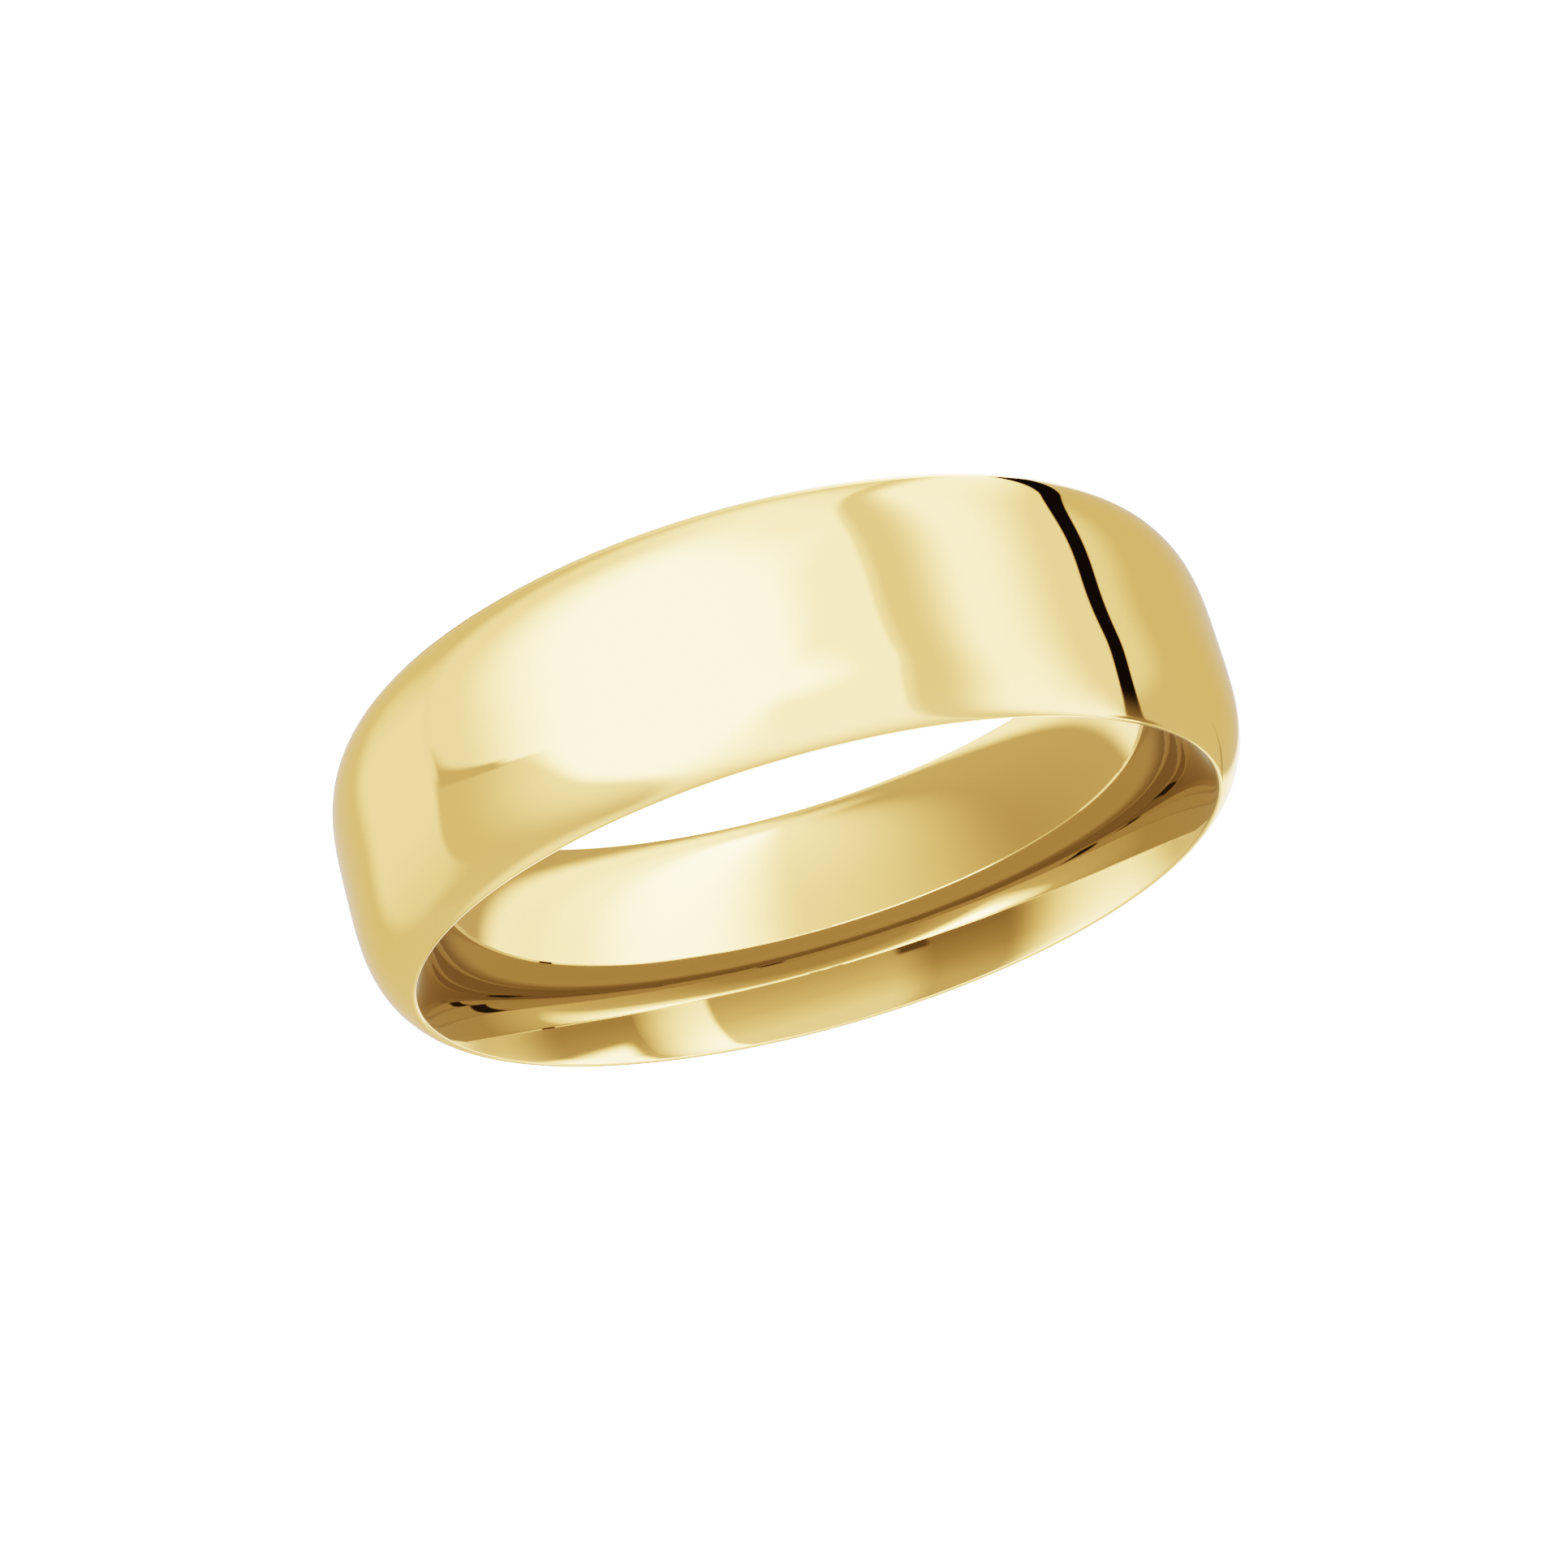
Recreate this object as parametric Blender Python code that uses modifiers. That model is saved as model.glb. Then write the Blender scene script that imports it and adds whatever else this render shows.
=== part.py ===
"""Wedding band: one seamless ring of yellow gold with a domed outside and a comfort-fit bore.

The ring stands on edge like a wheel. Its origin is the centre of the finger hole, its axis runs
along Y and +Z is up. Lengths are in metres.
"""

import math

import bmesh
import bpy

# Driving dimensions.
BORE_DIAMETER = 0.0182  # at the middle of the band, where the finger touches it
CROWN_THICKNESS = 0.0016  # wall at the middle of the band
BAND_WIDTH = 0.0060
COMFORT_RADIUS = 0.0080  # arc of the bore's bulge, across the band
EDGE_ROUND = 0.0002  # how far in from each side the bore starts to round over
LAND_INNER_RADIUS = 0.00966  # flat ring on each side of the band
LAND_OUTER_RADIUS = 0.00978
DOME_SHOULDER = 3.6  # superellipse powers of the dome: how late it falls,
DOME_FULLNESS = 1.25  # and how steeply it meets the side

# Facets.
DOME_STEPS = 9  # over half of the band's width
BORE_STEPS = 6
ROUND_STEPS = 3
TURN_STEPS = 96

GOLD_COLOUR = (0.83, 0.64, 0.27, 1.0)
GOLD_ROUGHNESS = 0.08

HALF_WIDTH = BAND_WIDTH / 2
BORE_RADIUS = BORE_DIAMETER / 2
CROWN_RADIUS = BORE_RADIUS + CROWN_THICKNESS


def clear_scene():
    for thing in list(bpy.data.objects):
        bpy.data.objects.remove(thing)


def dome_radius(offset):
    """Outer radius at this distance from the middle of the band."""
    fall = 1 - min(abs(offset) / HALF_WIDTH, 1.0) ** DOME_SHOULDER
    return LAND_OUTER_RADIUS + (CROWN_RADIUS - LAND_OUTER_RADIUS) * fall ** (1 / DOME_FULLNESS)


def bore_radius(offset):
    """Inner radius at this distance from the middle: an arc that bulges towards the finger."""
    return BORE_RADIUS + COMFORT_RADIUS - math.sqrt(COMFORT_RADIUS**2 - offset**2)


def dome_points():
    """(radius, height) down the outer side, closer together towards the edges."""
    turns = [math.pi / 2 * step / DOME_STEPS for step in range(DOME_STEPS, -DOME_STEPS - 1, -1)]
    return [(dome_radius(HALF_WIDTH * math.sin(turn)), HALF_WIDTH * math.sin(turn)) for turn in turns]


def lower_round_points():
    """The bottom land's inner end, and the quarter round from it into the bore."""
    start = HALF_WIDTH - EDGE_ROUND
    width = LAND_INNER_RADIUS - bore_radius(start)
    points = []
    for step in range(ROUND_STEPS):
        turn = math.pi / 2 * step / ROUND_STEPS
        radius = LAND_INNER_RADIUS - width * math.sin(turn)
        points.append((radius, -start - EDGE_ROUND * math.cos(turn)))
    return points


def bore_points():
    """Up the inner side, from one rounded edge to the other."""
    start = HALF_WIDTH - EDGE_ROUND
    heights = [start * step / BORE_STEPS for step in range(-BORE_STEPS, BORE_STEPS + 1)]
    return [(bore_radius(height), height) for height in heights]


def band_profile():
    """The closed cross-section: outside downwards, then the bore upwards."""
    lower_round = lower_round_points()
    upper_round = [(radius, -height) for radius, height in reversed(lower_round)]
    return dome_points() + lower_round + bore_points() + upper_round


def gold():
    material = bpy.data.materials.new("yellow_gold")
    material.use_nodes = True
    shader = material.node_tree.nodes["Principled BSDF"]
    shader.inputs["Base Color"].default_value = GOLD_COLOUR
    shader.inputs["Metallic"].default_value = 1.0
    shader.inputs["Roughness"].default_value = GOLD_ROUGHNESS
    return material


def turned(name, profile):
    """A closed profile in the XZ plane, turned once around Z."""
    outline = bmesh.new()
    corners = [outline.verts.new((radius, 0.0, height)) for radius, height in profile]
    for corner, following in zip(corners, corners[1:] + corners[:1]):
        outline.edges.new((corner, following))
    mesh = bpy.data.meshes.new(name)
    outline.to_mesh(mesh)
    outline.free()
    piece = bpy.data.objects.new(name, mesh)
    screw = piece.modifiers.new("turn", "SCREW")
    screw.axis = "Z"
    screw.steps = TURN_STEPS
    screw.render_steps = TURN_STEPS
    screw.use_merge_vertices = False
    screw.use_smooth_shade = True
    return piece


def make_band(collection):
    """The whole ring is one piece, with no seam, stone or setting."""
    band = turned("band", band_profile())
    band.data.materials.append(gold())
    band.rotation_euler.x = math.pi / 2
    collection.objects.link(band)
    return band


clear_scene()
parts = bpy.data.collections.new("wedding_band")
bpy.context.scene.collection.children.link(parts)
make_band(parts)
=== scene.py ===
"""Wedding band: a plain domed ring of yellow gold, standing on edge on a white floor.

The ring's axis runs along Y, +Z is up and the origin is the centre of the finger hole, as in the
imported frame. Lengths are in metres and angles in degrees.
"""

import math

import bmesh
import bpy
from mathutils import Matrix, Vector


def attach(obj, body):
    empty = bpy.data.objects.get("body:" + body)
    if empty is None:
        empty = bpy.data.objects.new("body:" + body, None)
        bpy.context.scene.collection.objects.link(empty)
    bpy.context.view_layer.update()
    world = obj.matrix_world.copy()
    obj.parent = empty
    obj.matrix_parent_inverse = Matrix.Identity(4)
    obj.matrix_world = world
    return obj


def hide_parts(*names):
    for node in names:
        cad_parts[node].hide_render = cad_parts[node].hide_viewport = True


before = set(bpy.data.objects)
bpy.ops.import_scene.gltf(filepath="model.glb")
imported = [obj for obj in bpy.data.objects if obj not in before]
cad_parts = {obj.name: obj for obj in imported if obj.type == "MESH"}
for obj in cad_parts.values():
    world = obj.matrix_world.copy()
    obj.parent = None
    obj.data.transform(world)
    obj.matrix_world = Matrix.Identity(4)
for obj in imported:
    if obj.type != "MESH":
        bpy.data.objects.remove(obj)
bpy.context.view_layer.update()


# The band.
# One seamless ring of yellow gold, turned to shape, with no joint, solder line or stone. It has a
# full dome outside, a comfort-fit bulge inside and a narrow flat land on each side where the two
# meet. All of it is buffed to a mirror.

HALF_WIDTH = 0.0030
BORE_RADIUS = 0.0091
CROWN_RADIUS = 0.0107
COMFORT_RADIUS = 0.0080
EDGE_ROUND = 0.00008
LAND_OUTER = 0.00978
TURNS = 480
DOME_STEPS = 36
BORE_STEPS = 48
EDGE_STEPS = 8
YELLOW_GOLD = (0.93, 0.56, 0.207, 1)
RUBBED_GOLD = (0.94, 0.59, 0.235, 1)
GRAZED_GOLD = (0.97, 0.85, 0.64, 1)
GRAZED_BORE = (1, 0.95, 0.85, 1)
# A pale grey painted on the gold wherever it is seen in a reflection: a painted paler reflection.
PAINTED_PALE_REFLECTION = (0.93, 0.93, 0.93, 1)
# A grey glow painted on the gold where a ray has run round the bore four times.
PAINTED_BORE_GLOW = (0.2, 0.2, 0.2, 1)

# The cross-section is listed once round: over the dome, round an edge, through the bore, back.
section = []
for step in range(DOME_STEPS, -DOME_STEPS - 1, -1):
    across = HALF_WIDTH * math.sin(math.pi / 2 * step / DOME_STEPS)
    fall = max(0.0, 1 - abs(across / HALF_WIDTH) ** 3.6)
    section.append((LAND_OUTER + (CROWN_RADIUS - LAND_OUTER) * fall**0.8, across))

# The edge round touches both the land and the comfort curve.
bore_end = (HALF_WIDTH - EDGE_ROUND) / (1 - EDGE_ROUND / COMFORT_RADIUS)
bore_tilt = math.asin(bore_end / COMFORT_RADIUS)
bore_end_radius = BORE_RADIUS + COMFORT_RADIUS * (1 - math.cos(bore_tilt))
land_inner = bore_end_radius + EDGE_ROUND * math.cos(bore_tilt)
edge = []
for step in range(EDGE_STEPS):
    tilt = math.pi / 2 - (math.pi / 2 - bore_tilt) * step / EDGE_STEPS
    across = HALF_WIDTH - EDGE_ROUND + EDGE_ROUND * math.sin(tilt)
    edge.append((land_inner - EDGE_ROUND * math.cos(tilt), across))
section += [(radius, -across) for radius, across in edge]
for step in range(-BORE_STEPS // 2, BORE_STEPS // 2 + 1):
    across = 2 * bore_end * step / BORE_STEPS
    radius = BORE_RADIUS + COMFORT_RADIUS - math.sqrt(COMFORT_RADIUS**2 - across**2)
    section.append((radius, across))
section += reversed(edge)

bpy.ops.object.select_all(action="DESELECT")
start_radius, start_across = section[0]
bpy.ops.mesh.primitive_plane_add(size=0.0001, location=(start_radius, start_across, 0))
band = bpy.context.object
band.name = "band_polished"
band.data.name = "band_polished"
bpy.ops.object.transform_apply(location=True, rotation=True, scale=True)
bpy.ops.object.mode_set(mode="EDIT")
bpy.ops.mesh.select_mode(type="VERT")
bpy.ops.mesh.select_all(action="SELECT")
bpy.ops.mesh.merge(type="CENTER")
for here, there in zip(section, section[1:]):
    step = (there[0] - here[0], there[1] - here[1], 0)
    bpy.ops.mesh.extrude_vertices_move(TRANSFORM_OT_translate={"value": step})
bpy.ops.mesh.select_all(action="DESELECT")
cage = bmesh.from_edit_mesh(band.data)
for vertex in cage.verts:
    if len(vertex.link_edges) == 1:
        vertex.select_set(True)
bmesh.update_edit_mesh(band.data)
bpy.ops.mesh.edge_face_add()
bpy.ops.mesh.select_all(action="SELECT")
bpy.ops.mesh.spin(steps=TURNS, angle=2 * math.pi, center=(0, 0, 0), axis=(0, 1, 0))
bpy.ops.mesh.select_all(action="SELECT")
bpy.ops.mesh.remove_doubles(threshold=0.000001)
bpy.ops.mesh.normals_make_consistent(inside=False)
bpy.ops.object.mode_set(mode="OBJECT")
bpy.ops.object.shade_smooth()

# A buffed surface keeps the last fine lines of the wheel, a faint haze from handling, and a
# softer, paler rub towards the edges, where they meet the hand.
buffed = bpy.data.node_groups.new("buffed_metal", "ShaderNodeTree")
for name, kind in (
    ("Position", "NodeSocketVector"),
    ("Across Lines", "NodeSocketFloat"),
    ("Wear", "NodeSocketFloat"),
    ("Polish", "NodeSocketFloat"),
    ("Haze", "NodeSocketFloat"),
    ("Rub", "NodeSocketFloat"),
    ("Metal", "NodeSocketColor"),
    ("Rubbed Metal", "NodeSocketColor"),
):
    buffed.interface.new_socket(name, in_out="INPUT", socket_type=kind)
for name, kind in (
    ("Color", "NodeSocketColor"),
    ("Roughness", "NodeSocketFloat"),
    ("Height", "NodeSocketFloat"),
):
    buffed.interface.new_socket(name, in_out="OUTPUT", socket_type=kind)
given = buffed.nodes.new("NodeGroupInput")
made = buffed.nodes.new("NodeGroupOutput")
lines = buffed.nodes.new("ShaderNodeTexNoise")
lines.noise_dimensions = "1D"
lines.inputs["Scale"].default_value = 60000
lines.inputs["Detail"].default_value = 4
buffed.links.new(given.outputs["Across Lines"], lines.inputs["W"])
buffed.links.new(lines.outputs["Fac"], made.inputs["Height"])
cloud = buffed.nodes.new("ShaderNodeTexNoise")
cloud.inputs["Scale"].default_value = 420
cloud.inputs["Detail"].default_value = 5
buffed.links.new(given.outputs["Position"], cloud.inputs["Vector"])
patchy = buffed.nodes.new("ShaderNodeMath")
patchy.operation = "MULTIPLY"
buffed.links.new(cloud.outputs["Fac"], patchy.inputs[0])
buffed.links.new(given.outputs["Wear"], patchy.inputs[1])
hazy = buffed.nodes.new("ShaderNodeMath")
hazy.operation = "MULTIPLY_ADD"
buffed.links.new(cloud.outputs["Fac"], hazy.inputs[0])
buffed.links.new(given.outputs["Haze"], hazy.inputs[1])
buffed.links.new(given.outputs["Polish"], hazy.inputs[2])
rough = buffed.nodes.new("ShaderNodeMath")
rough.operation = "MULTIPLY_ADD"
buffed.links.new(patchy.outputs[0], rough.inputs[0])
buffed.links.new(given.outputs["Rub"], rough.inputs[1])
buffed.links.new(hazy.outputs[0], rough.inputs[2])
buffed.links.new(rough.outputs[0], made.inputs["Roughness"])
tint = buffed.nodes.new("ShaderNodeMix")
tint.data_type = "RGBA"
buffed.links.new(patchy.outputs[0], tint.inputs["Factor"])
buffed.links.new(given.outputs["Metal"], tint.inputs["A"])
buffed.links.new(given.outputs["Rubbed Metal"], tint.inputs["B"])
buffed.links.new(tint.outputs["Result"], made.inputs["Color"])


def gold(name, grazed, polish, haze, rub, line_depth, wear_from, wear_to):
    """A gold finish. Wear grows over the stretch of the ring's axis between the last two."""
    material = bpy.data.materials.new(name)
    material.use_nodes = True
    tree = material.node_tree
    shader = tree.nodes["Principled BSDF"]
    shader.inputs["Metallic"].default_value = 1
    shader.inputs["Specular Tint"].default_value = grazed
    shader.inputs["Emission Strength"].default_value = 1
    place = tree.nodes.new("ShaderNodeTexCoord")
    axes = tree.nodes.new("ShaderNodeSeparateXYZ")
    off_centre = tree.nodes.new("ShaderNodeMath")
    off_centre.operation = "ABSOLUTE"
    wear = tree.nodes.new("ShaderNodeMapRange")
    wear.interpolation_type = "SMOOTHSTEP"
    wear.inputs["From Min"].default_value = wear_from
    wear.inputs["From Max"].default_value = wear_to
    surface = tree.nodes.new("ShaderNodeGroup")
    surface.node_tree = buffed
    surface.inputs["Polish"].default_value = polish
    surface.inputs["Haze"].default_value = haze
    surface.inputs["Rub"].default_value = rub
    surface.inputs["Metal"].default_value = YELLOW_GOLD
    surface.inputs["Rubbed Metal"].default_value = RUBBED_GOLD
    bump = tree.nodes.new("ShaderNodeBump")
    bump.inputs["Strength"].default_value = 0.1
    bump.inputs["Distance"].default_value = line_depth
    # Gold seen again in gold turns redder and darker, and a painted pale grey holds that back: wherever
    # the gold is seen in a reflection, its colour is painted pale grey, a painted paler reflection.
    # A ray that has run round the bore four times ends there, in an even grey glow painted on the gold
    # itself.
    path = tree.nodes.new("ShaderNodeLightPath")
    tone = tree.nodes.new("ShaderNodeMix")
    tone.data_type = "RGBA"
    tone.inputs["A"].default_value = PAINTED_PALE_REFLECTION
    spent = tree.nodes.new("ShaderNodeMath")
    spent.operation = "GREATER_THAN"
    spent.inputs[1].default_value = 3.5
    last = tree.nodes.new("ShaderNodeMix")
    last.data_type = "RGBA"
    last.inputs["B"].default_value = (0, 0, 0, 1)
    # Painted glow: past the fourth reflection the gold stops reflecting and gives off an even grey glow
    # of its own.
    dim = tree.nodes.new("ShaderNodeMix")
    dim.data_type = "RGBA"
    dim.inputs["A"].default_value = (0, 0, 0, 1)
    dim.inputs["B"].default_value = PAINTED_BORE_GLOW
    tree.links.new(place.outputs["Object"], axes.inputs[0])
    tree.links.new(axes.outputs["Y"], off_centre.inputs[0])
    tree.links.new(off_centre.outputs[0], wear.inputs["Value"])
    tree.links.new(place.outputs["Object"], surface.inputs["Position"])
    tree.links.new(axes.outputs["Y"], surface.inputs["Across Lines"])
    tree.links.new(wear.outputs["Result"], surface.inputs["Wear"])
    tree.links.new(surface.outputs["Color"], tone.inputs["B"])
    tree.links.new(path.outputs["Is Camera Ray"], tone.inputs["Factor"])
    tree.links.new(tone.outputs["Result"], last.inputs["A"])
    tree.links.new(path.outputs["Ray Depth"], spent.inputs[0])
    tree.links.new(spent.outputs[0], last.inputs["Factor"])
    tree.links.new(spent.outputs[0], dim.inputs["Factor"])
    tree.links.new(last.outputs["Result"], shader.inputs["Base Color"])
    tree.links.new(dim.outputs["Result"], shader.inputs["Emission Color"])
    tree.links.new(surface.outputs["Roughness"], shader.inputs["Roughness"])
    tree.links.new(surface.outputs["Height"], bump.inputs["Height"])
    tree.links.new(bump.outputs["Normal"], shader.inputs["Normal"])
    return material


finishes = (
    gold("dome_gold", GRAZED_GOLD, polish=0.015, haze=0.01, rub=0.05, line_depth=0.0000001,
         wear_from=0.0022, wear_to=0.0030),
    gold("bore_gold", GRAZED_BORE, polish=0.02, haze=0.015, rub=0.04, line_depth=0.0000001,
         wear_from=0.0024, wear_to=0.0030),
    gold("land_gold", GRAZED_GOLD, polish=0.06, haze=0.04, rub=0.05, line_depth=0.000001,
         wear_from=0.0028, wear_to=0.0030),
)
for finish in finishes:
    band.data.materials.append(finish)
for face in band.data.polygons:
    radius = math.hypot(face.center.x, face.center.z)
    if radius < land_inner:
        face.material_index = 1
    elif radius < LAND_OUTER:
        face.material_index = 2
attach(band, "root")
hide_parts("band")


# The floor and backdrop.
# A seamless white sweep. It is lit so brightly that it shows no shadow and no horizon.

WHITE_OUT = 24

white = bpy.data.materials.new("white_sweep")
white.use_nodes = True
tree = white.node_tree
tree.nodes.clear()
glow = tree.nodes.new("ShaderNodeEmission")
glow.inputs["Color"].default_value = (1, 1, 1, 1)
glow.inputs["Strength"].default_value = WHITE_OUT
output = tree.nodes.new("ShaderNodeOutputMaterial")
tree.links.new(glow.outputs[0], output.inputs["Surface"])

bpy.ops.object.select_all(action="DESELECT")
bpy.ops.mesh.primitive_plane_add(size=4, location=(0, 0, -CROWN_RADIUS))
floor = bpy.context.object
floor.name = "floor"
floor.data.materials.append(white)
floor.visible_glossy = False
floor.visible_diffuse = False
floor.visible_shadow = False


# The light round the ring.
# A pale tent, bright overhead and dim near the floor, with a grey card on the left, an arched
# screen with a black foot on the right and a table's edge. A polished ring needs them to show its
# shape. They are placed by compass angle, turning right from +Y, and by height over the horizon.

world = bpy.data.worlds.new("studio")
bpy.context.scene.world = world
world.use_nodes = True
sky = world.node_tree
sky.nodes.clear()
coord = sky.nodes.new("ShaderNodeTexCoord")
path = sky.nodes.new("ShaderNodeLightPath")
background = sky.nodes.new("ShaderNodeBackground")
end = sky.nodes.new("ShaderNodeOutputWorld")
sky.links.new(background.outputs[0], end.inputs["Surface"])
ray = sky.nodes.new("ShaderNodeSeparateXYZ")
sky.links.new(coord.outputs["Generated"], ray.inputs[0])


def fill(tree, socket, value):
    if isinstance(value, bpy.types.NodeSocket):
        tree.links.new(value, socket)
    else:
        socket.default_value = value


def calc(operation, first, second=0.0, third=0.0):
    tree = (first if isinstance(first, bpy.types.NodeSocket) else second).id_data
    node = tree.nodes.new("ShaderNodeMath")
    node.operation = operation
    for socket, value in zip(node.inputs, (first, second, third)):
        fill(tree, socket, value)
    return node.outputs[0]


def ramp(value, low, high, at_low=0.0, at_high=1.0):
    """An eased step from one level to another as the value goes from low to high."""
    tree = value.id_data
    node = tree.nodes.new("ShaderNodeMapRange")
    node.interpolation_type = "SMOOTHSTEP"
    levels = (value, low, high, at_low, at_high)
    for socket, level in zip(node.inputs, levels):
        fill(tree, socket, level)
    return node.outputs["Result"]


def mix(mask, below, above):
    tree = mask.id_data
    node = tree.nodes.new("ShaderNodeMix")
    tree.links.new(mask, node.inputs["Factor"])
    fill(tree, node.inputs["A"], below)
    fill(tree, node.inputs["B"], above)
    return node.outputs["Result"]


def oval(centre, half_width, half_height, power, rise=None):
    """How far out a ray is from a card's centre, with 1 at the card's rim."""
    rise = rise or calc("SUBTRACT", height, centre[1])
    run = calc("DIVIDE", calc("ABSOLUTE", calc("SUBTRACT", compass, centre[0])), half_width)
    rise = calc("DIVIDE", calc("ABSOLUTE", rise), half_height)
    both = calc("ADD", calc("POWER", run, power), calc("POWER", rise, power))
    return calc("POWER", both, 1 / power)


def arch(centre, half_width, half_height, power):
    """The same for a card whose sides drop straight down from the horizon."""
    return oval((centre, 0), half_width, half_height, power, calc("MAXIMUM", height, 0.0))


def between(inner, outer):
    """How far a ray has come from the rim of one card to the rim of the next one inside it."""
    gap = calc("MAXIMUM", calc("SUBTRACT", inner, outer), 0.001)
    return calc("DIVIDE", calc("SUBTRACT", 1.0, outer), gap)


compass = calc("DEGREES", calc("ARCTAN2", ray.outputs["X"], ray.outputs["Y"]))
height = calc("DEGREES", calc("ARCSINE", ray.outputs["Z"]))

# The tent is dim at the floor, even round the horizon and bright overhead. A paler column stands
# in front of it on the lens side, and the right half is darker overhead but for its top.
FLOOR_LIGHT = 0.8
HORIZON_LIGHT = 1.35
OVERHEAD_EXTRA = 3.1

light = ramp(height, -18, -4, FLOOR_LIGHT, HORIZON_LIGHT)
light = calc("ADD", light, ramp(height, 2, 42, 0, OVERHEAD_EXTRA))
column = calc("ADD", ramp(height, -30, 2, 0.6, 2.4), ramp(height, 34, 70, 0, 1.7))
column = calc("ADD", column, ramp(height, -36, -45, 0, 1.4))
from_column = calc("ABSOLUTE", calc("SUBTRACT", compass, 13))
light = mix(ramp(from_column, 35, 0), light, column)
right = calc("ADD", ramp(height, -15, 32, 1.05, 2.3), ramp(height, 68, 88, 0, 1.9))
right = calc("ADD", right, ramp(calc("ABSOLUTE", calc("ADD", height, 30)), 15, 0, 0, 0.45))
light = mix(calc("ADD", ramp(compass, 2, 33), ramp(compass, -145, -180)), light, right)

# The grey card on the left. Its right side is a straight, dark, slightly leaning rim, and the
# floor under it is paler.
card = ramp(oval((-112, 3.5), 50, 32, 2.5), 1.08, 0.86)
card_light = ramp(height, 0, 40, 0.75, 1.6)
past_rim = calc("ADD", compass, calc("MULTIPLY_ADD", height, 0.17, 69.5))
card = calc("MULTIPLY", card, ramp(past_rim, 0.5, -0.5))
light = mix(card, light, card_light)
rim = ramp(calc("ABSOLUTE", past_rim), 1.4, 0.5)
rim = calc("MULTIPLY", rim, calc("MULTIPLY", ramp(height, -7, -5), ramp(height, 19, 12)))
light = mix(rim, light, 0.6)
patch = ramp(oval((-78, -22), 33, 19, 2.5), 1.3, 0.75)
patch_light = ramp(compass, -105, -62, 1.1, 1.4)
patch_light = mix(ramp(compass, -62, -50), patch_light, 1.2)
light = mix(calc("MULTIPLY", patch, ramp(height, -6, -9)), light, patch_light)
light = mix(ramp(oval((-154, -24), 14, 20, 2), 1.4, 0.4), light, 1.4)

# The arched screen on the right: bright along its ridge, dim at its outline and at its foot. The
# foot droops to either side of its middle, straight at the left end and curved at the right.
FOOT_MIDDLE = 82
STRAIGHT_FROM = 40
STRAIGHT_DROOP = 1.3
LEFT_DROOP = 21
RIGHT_DROOP = 37
RIGHT_REACH = 56

outline = arch(87.5, 69.5, 62, 2.5)
ridge = arch(82.5, 57, 36.5, 1.6)
to_left = calc("MAXIMUM", calc("SUBTRACT", FOOT_MIDDLE, compass), 0.0)
to_right = calc("MAXIMUM", calc("SUBTRACT", compass, FOOT_MIDDLE), 0.0)
bent = calc("POWER", calc("DIVIDE", calc("MINIMUM", to_left, STRAIGHT_FROM), STRAIGHT_FROM), 2.8)
straight = calc("MAXIMUM", calc("SUBTRACT", to_left, STRAIGHT_FROM), 0.0)
left_droop = calc("MULTIPLY_ADD", bent, LEFT_DROOP, calc("MULTIPLY", straight, STRAIGHT_DROOP))
right_droop = calc("POWER", calc("DIVIDE", to_right, RIGHT_REACH), 2.3)
droop = calc("MULTIPLY_ADD", right_droop, RIGHT_DROOP, left_droop)
above_foot = calc("SUBTRACT", calc("ADD", height, droop), 1)
foot = calc("ADD", calc("DIVIDE", above_foot, 46), 1)

to_ridge = between(ridge, outline)
to_ridge = calc("ADD", ramp(to_ridge, 0.2, 0.88, 1, 2.7), ramp(to_ridge, 0.1, 0, 0, 0.5))
to_foot = between(foot, ridge)
to_foot = calc("SUBTRACT", ramp(to_foot, 0.08, 0.75, 2.7, 1.2), ramp(to_foot, 0.9, 1, 0, 0.3))
screen = mix(ramp(ridge, 1.0, 0.999), to_ridge, to_foot)
light = mix(ramp(outline, 1.015, 0.985), light, screen)
below_screen = calc("ADD", ramp(height, -18, -4, 0.7, 1.1), ramp(height, -60, -64, 0, 1.65))
under = calc("MULTIPLY", ramp(above_foot, 0.4, -0.4), ramp(compass, 30, 34))
light = mix(calc("MULTIPLY", under, ramp(compass, 180, 140)), light, below_screen)

# The black strip along the foot of the screen, thicker where it droops.
STRIP_HALF = 2.5
STRIP_BLACK = 0.02

half_strip = calc("MULTIPLY_ADD", droop, 0.05, STRIP_HALF)
off_strip = calc("SUBTRACT", calc("ABSOLUTE", above_foot), half_strip)
strip_ends = calc("MULTIPLY", ramp(compass, 19, 22), ramp(compass, 138, 132))
strip = calc("MULTIPLY", ramp(off_strip, 0.4, -0.4), strip_ends)
light = mix(strip, light, ramp(compass, 110, 134, STRIP_BLACK, 0.2))

# The thin grey edge of the table, low on the right. It sinks away to a level line.
TABLE_DROP = 64
TABLE_START = 97
TABLE_RISE = 24
TABLE_REACH = 7.5

past_start = calc("DIVIDE", calc("SUBTRACT", TABLE_START, compass), TABLE_REACH)
table_height = calc("MULTIPLY_ADD", calc("EXPONENT", past_start), TABLE_RISE, -TABLE_DROP)
table = ramp(calc("ABSOLUTE", calc("SUBTRACT", height, table_height)), 2.2, 0.6)
table_light = calc("ADD", ramp(compass, 103, 127, 0.3, 0.6), ramp(compass, 103, TABLE_START, 0, 0.3))
light = mix(calc("MULTIPLY", table, ramp(compass, 96, 99)), light, table_light)

# A small grey card at the far end of the strip, and a small lamp under the near end.
light = mix(ramp(oval((136, -33), 5, 6, 2), 1.4, 0.6), light, 0.3)
light = mix(ramp(oval((28, -54), 4, 9, 2), 1.4, 0.6), light, 4.0)

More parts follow.
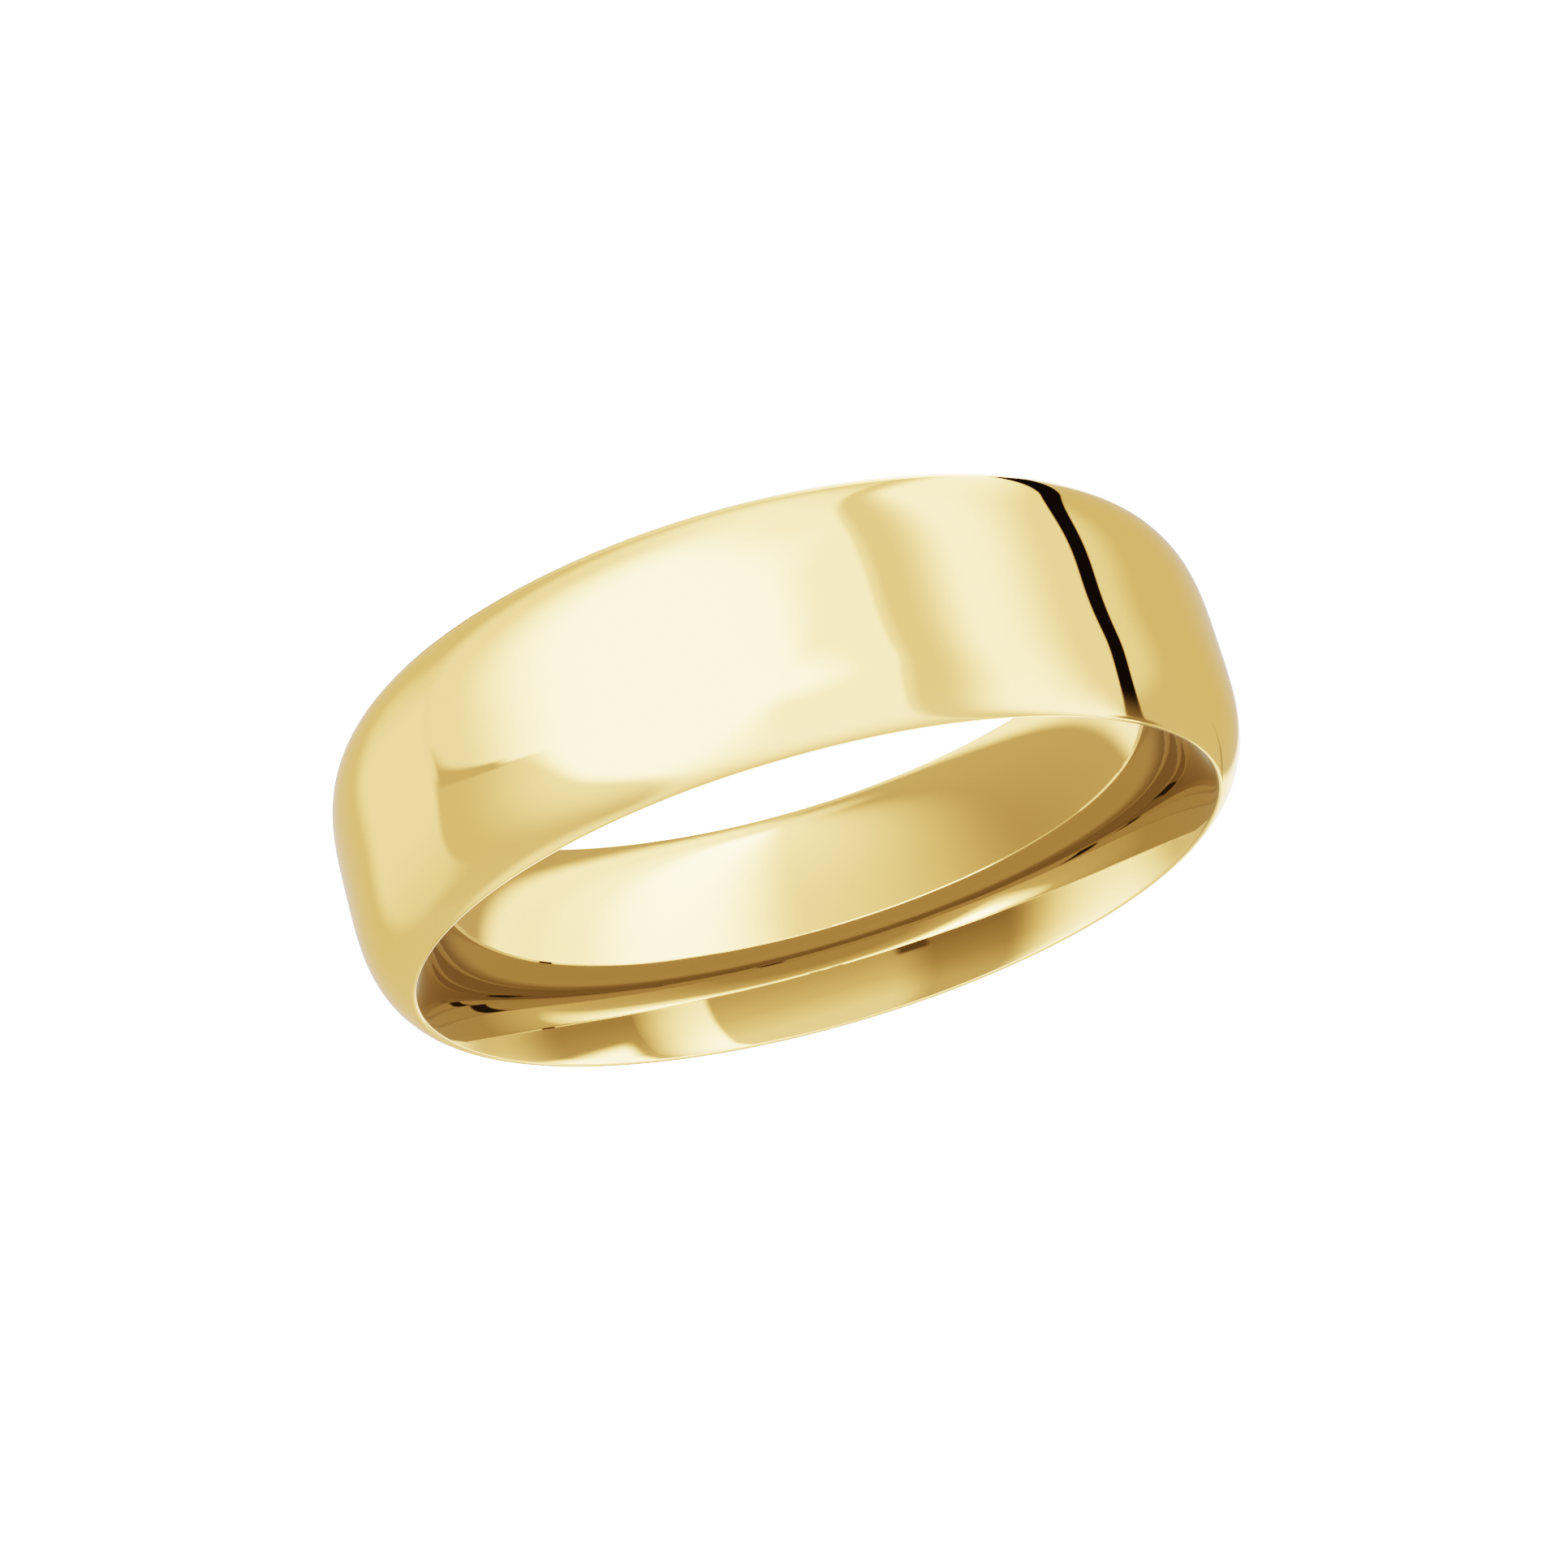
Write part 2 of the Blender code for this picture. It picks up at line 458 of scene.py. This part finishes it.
background.inputs["Color"].default_value = (1, 1, 1, 1)
light = mix(calc("GREATER_THAN", path.outputs["Ray Depth"], 2.5), light, 0.3)
sky.links.new(mix(path.outputs["Is Camera Ray"], light, WHITE_OUT), background.inputs["Strength"])


# The light in the bore.
# A translucent dome over each opening, just clear of the ring. Only reflections see it, and only
# from inside, so it lights the bore and leaves the outside to the tent. Gold that is seen twice
# or more in the bore is dimmer.

DOME_RADIUS = 0.0094
DOME_PLACE = 0.00305


def light_dome(name, facing, wall, deep):
    """A half sphere over one opening. facing is 1 at the far side of the ring and -1 at the near."""
    bpy.ops.object.select_all(action="DESELECT")
    bpy.ops.mesh.primitive_uv_sphere_add(segments=96, ring_count=48, radius=DOME_RADIUS)
    dome = bpy.context.object
    dome.name = name
    bpy.ops.object.mode_set(mode="EDIT")
    bpy.ops.mesh.select_all(action="SELECT")
    bpy.ops.mesh.bisect(plane_co=(0, 0, 0), plane_no=(0, facing, 0), clear_inner=True)
    bpy.ops.mesh.select_all(action="SELECT")
    bpy.ops.transform.translate(value=(0, facing * DOME_PLACE, 0))
    bpy.ops.mesh.normals_make_consistent(inside=False)
    bpy.ops.object.mode_set(mode="OBJECT")
    bpy.ops.object.shade_smooth()
    dome.visible_camera = False
    dome.visible_diffuse = False
    dome.visible_shadow = False
    material = bpy.data.materials.new(name)
    material.use_nodes = True
    tree = material.node_tree
    tree.nodes.clear()
    place = tree.nodes.new("ShaderNodeTexCoord")
    middle = tree.nodes.new("ShaderNodeMapping")
    middle.inputs["Location"].default_value = (0, -facing * DOME_PLACE, 0)
    outward = tree.nodes.new("ShaderNodeVectorMath")
    outward.operation = "NORMALIZE"
    axes = tree.nodes.new("ShaderNodeSeparateXYZ")
    path = tree.nodes.new("ShaderNodeLightPath")
    skin = tree.nodes.new("ShaderNodeNewGeometry")
    glow = tree.nodes.new("ShaderNodeEmission")
    clear = tree.nodes.new("ShaderNodeBsdfTransparent")
    sides = tree.nodes.new("ShaderNodeMixShader")
    output = tree.nodes.new("ShaderNodeOutputMaterial")
    tree.links.new(place.outputs["Object"], middle.inputs["Vector"])
    tree.links.new(middle.outputs["Vector"], outward.inputs[0])
    tree.links.new(outward.outputs[0], axes.inputs[0])
    x, y, z = axes.outputs
    tilt = calc("DEGREES", calc("ARCCOSINE", calc("MULTIPLY", y, facing)))
    depth = path.outputs["Ray Depth"]
    level = mix(calc("LESS_THAN", depth, 1.5), deep(x, z, tilt, depth), wall(x, z, tilt))
    tree.links.new(level, glow.inputs["Strength"])
    tree.links.new(skin.outputs["Backfacing"], sides.inputs["Fac"])
    tree.links.new(clear.outputs[0], sides.inputs[1])
    tree.links.new(glow.outputs[0], sides.inputs[2])
    tree.links.new(sides.outputs[0], output.inputs["Surface"])
    dome.data.materials.append(material)


def curve(value, *stops):
    """Levels along a value, joined by straight lines. Each stop is a (value, level)."""
    tree = value.id_data
    low, high = stops[0][0], stops[-1][0]
    spread = tree.nodes.new("ShaderNodeMapRange")
    tree.links.new(value, spread.inputs["Value"])
    spread.inputs["From Min"].default_value = low
    spread.inputs["From Max"].default_value = high
    node = tree.nodes.new("ShaderNodeValToRGB")
    tree.links.new(spread.outputs["Result"], node.inputs["Fac"])
    elements = node.color_ramp.elements
    elements[0].color = (stops[0][1],) * 3 + (1,)
    elements[1].color = (stops[-1][1],) * 3 + (1,)
    for place, level in stops[1:-1]:
        elements.new((place - low) / (high - low)).color = (level,) * 3 + (1,)
    return node.outputs["Color"]


def turn_round(x, z, centre_x, centre_z):
    """Degrees round a centre on the dome, from +X up through +Z."""
    angle = calc("ARCTAN2", calc("SUBTRACT", z, centre_z), calc("SUBTRACT", x, centre_x))
    return calc("WRAP", calc("DEGREES", angle), 360, 0)


def far_off(x, z, centre_x, centre_z):
    run = calc("POWER", calc("ABSOLUTE", calc("SUBTRACT", x, centre_x)), 2)
    rise = calc("POWER", calc("ABSOLUTE", calc("SUBTRACT", z, centre_z)), 2)
    return calc("SQRT", calc("ADD", run, rise))


def far_wall(x, z, tilt):
    """A bright fan up to the right of a low centre, with a dim left side and a soft lower lamp."""
    turn = turn_round(x, z, 0.06, -0.45)
    fan = ramp(turn, 0, 45, 2.5, 5.4)
    dim = ramp(turn, 85, 175, 1.7, 0.5)
    lower = ramp(turn, 325, 360, 2.0, 2.5)
    level = mix(ramp(turn, 262, 298), mix(ramp(turn, 52, 92), fan, dim), lower)
    off = far_off(x, z, 0.06, -0.45)
    level = mix(ramp(off, 0.0, 0.14), 1.5, level)
    return calc("MULTIPLY", level, calc("MULTIPLY_ADD", off, -0.29, 1.15))


def far_deep(x, z, tilt, depth):
    level = mix(calc("GREATER_THAN", depth, 2.5), ramp(tilt, 78, 90, 0.36, 0.2), 0.2)
    blot = calc("MULTIPLY", ramp(far_off(x, z, -0.7, 0.68), 0.5, 0.36), calc("GREATER_THAN", depth, 3.5))
    return mix(blot, level, 0.05)


def near_wall(x, z, tilt):
    """A lamp on the right with a hard upper edge, a second lamp low on the left, dim between."""
    turn = turn_round(x, z, 0, 0)
    right_lamp = ramp(turn, -10, 36, 0.2, 2.4)
    upper = ramp(turn, 115, 140, 0.6, 0.3)
    lower = ramp(turn, 284, 322, 0.9, 0.4)
    level = mix(ramp(turn, 33, 37), right_lamp, upper)
    level = mix(ramp(turn, 172, 230), level, 2.3)
    level = mix(ramp(turn, 236, 276), level, lower)
    level = calc("MULTIPLY", level, curve(tilt, (50, 1.7), (68, 1.1), (86, 0.8)))
    glare = calc("MULTIPLY", ramp(turn, 288, 305), ramp(turn, 356, 346))
    level = mix(calc("MULTIPLY", glare, ramp(tilt, 73, 64)), level, 4.0)
    seam = calc("MULTIPLY", ramp(turn, 119, 124), ramp(turn, 138, 134))
    return mix(calc("MULTIPLY", seam, ramp(tilt, 82, 85)), level, 0.12)


def near_deep(x, z, tilt, depth):
    lamp = far_off(calc("MULTIPLY", x, 0.7), z, 0.14, 0.42)
    lamp = curve(lamp, (0, 7), (0.12, 6.5), (0.25, 2.6), (0.45, 0.6), (1, 0.36))
    level = mix(calc("GREATER_THAN", depth, 2.5), lamp, 0.36)
    blot = calc("MULTIPLY", ramp(far_off(x, z, 0.86, 0.5), 0.3, 0.2), calc("GREATER_THAN", depth, 2.5))
    return mix(blot, level, 0.04)


light_dome("far_light", 1, far_wall, far_deep)
light_dome("near_light", -1, near_wall, near_deep)


# The camera.
# It looks down on the ring from above and a little to its left.

COMPASS_TURN = math.radians(-15.23)
LOOK_DOWN = math.radians(68.65)
DISTANCE = 0.09775

lens = bpy.data.cameras.new("camera")
camera = bpy.data.objects.new("camera", lens)
bpy.context.scene.collection.objects.link(camera)
away = Vector((
    math.sin(COMPASS_TURN) * math.cos(LOOK_DOWN),
    -math.cos(COMPASS_TURN) * math.cos(LOOK_DOWN),
    math.sin(LOOK_DOWN),
))
camera.location = away * DISTANCE
side = Vector((0, 0, 1)).cross(away).normalized()
rise = away.cross(side)
target = side * -0.000091 + rise * 0.000107
camera.rotation_euler = (target - camera.location).to_track_quat("-Z", "Y").to_euler()
lens.lens = 94.9
lens.sensor_width = 36
lens.clip_start = 0.001
lens.clip_end = 20
bpy.context.scene.camera = camera
bpy.context.scene.view_settings.view_transform = "Filmic"
bpy.context.scene.view_settings.look = "Very High Contrast"
